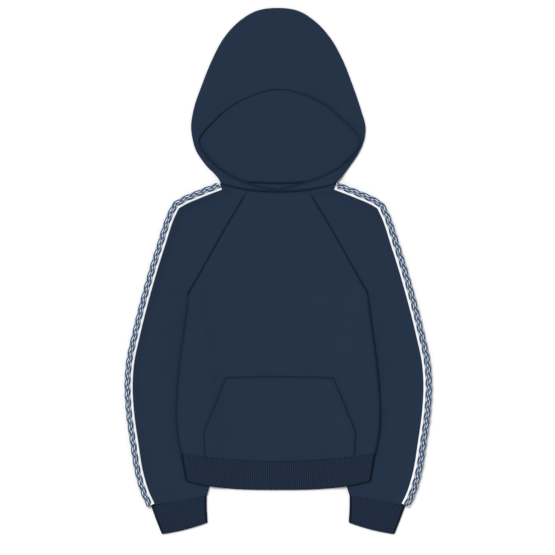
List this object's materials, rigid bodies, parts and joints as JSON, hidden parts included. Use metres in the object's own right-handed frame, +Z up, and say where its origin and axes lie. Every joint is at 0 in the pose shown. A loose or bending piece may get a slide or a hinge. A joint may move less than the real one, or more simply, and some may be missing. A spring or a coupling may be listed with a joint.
{
  "type": "hooded sweatshirt",
  "caption": "Child's hooded knit sweatshirt laid flat, with raglan sleeves, a kangaroo pocket, ribbed hem and cuffs, and plaited trim down the sleeves.",
  "frame": {"origin": "centre of the laid garment's outline, on the surface it lies on", "axes": "+Y up the garment from the cuffs to the hood, +X to the wearer's left, +Z up from the surface, out of the front of the garment"},
  "size_m": [0.4908, 0.841, 0.0121],
  "materials": {
    "sweatshirt_knit": "navy cotton sweatshirt knit, smooth jersey face, matt",
    "rib_knit": "navy rib knit, matt, upright ribs about 3 mm apart",
    "white_tape": "white woven cotton tape, matt",
    "plaited_braid": "plaited trim of white cords edged in denim blue, matt with a slight sheen"
  },
  "bodies": {
    "root": {"front_panel": "sweatshirt_knit", "back_panel": "sweatshirt_knit", "sleeve_left": "sweatshirt_knit", "sleeve_right": "sweatshirt_knit", "hood": "sweatshirt_knit", "pocket": "sweatshirt_knit", "hem_rib": "rib_knit", "cuff_left": "rib_knit", "cuff_right": "rib_knit", "tape_left": "white_tape", "tape_right": "white_tape", "braid_left": "plaited_braid", "braid_right": "plaited_braid"}
  },
  "joints": []
}
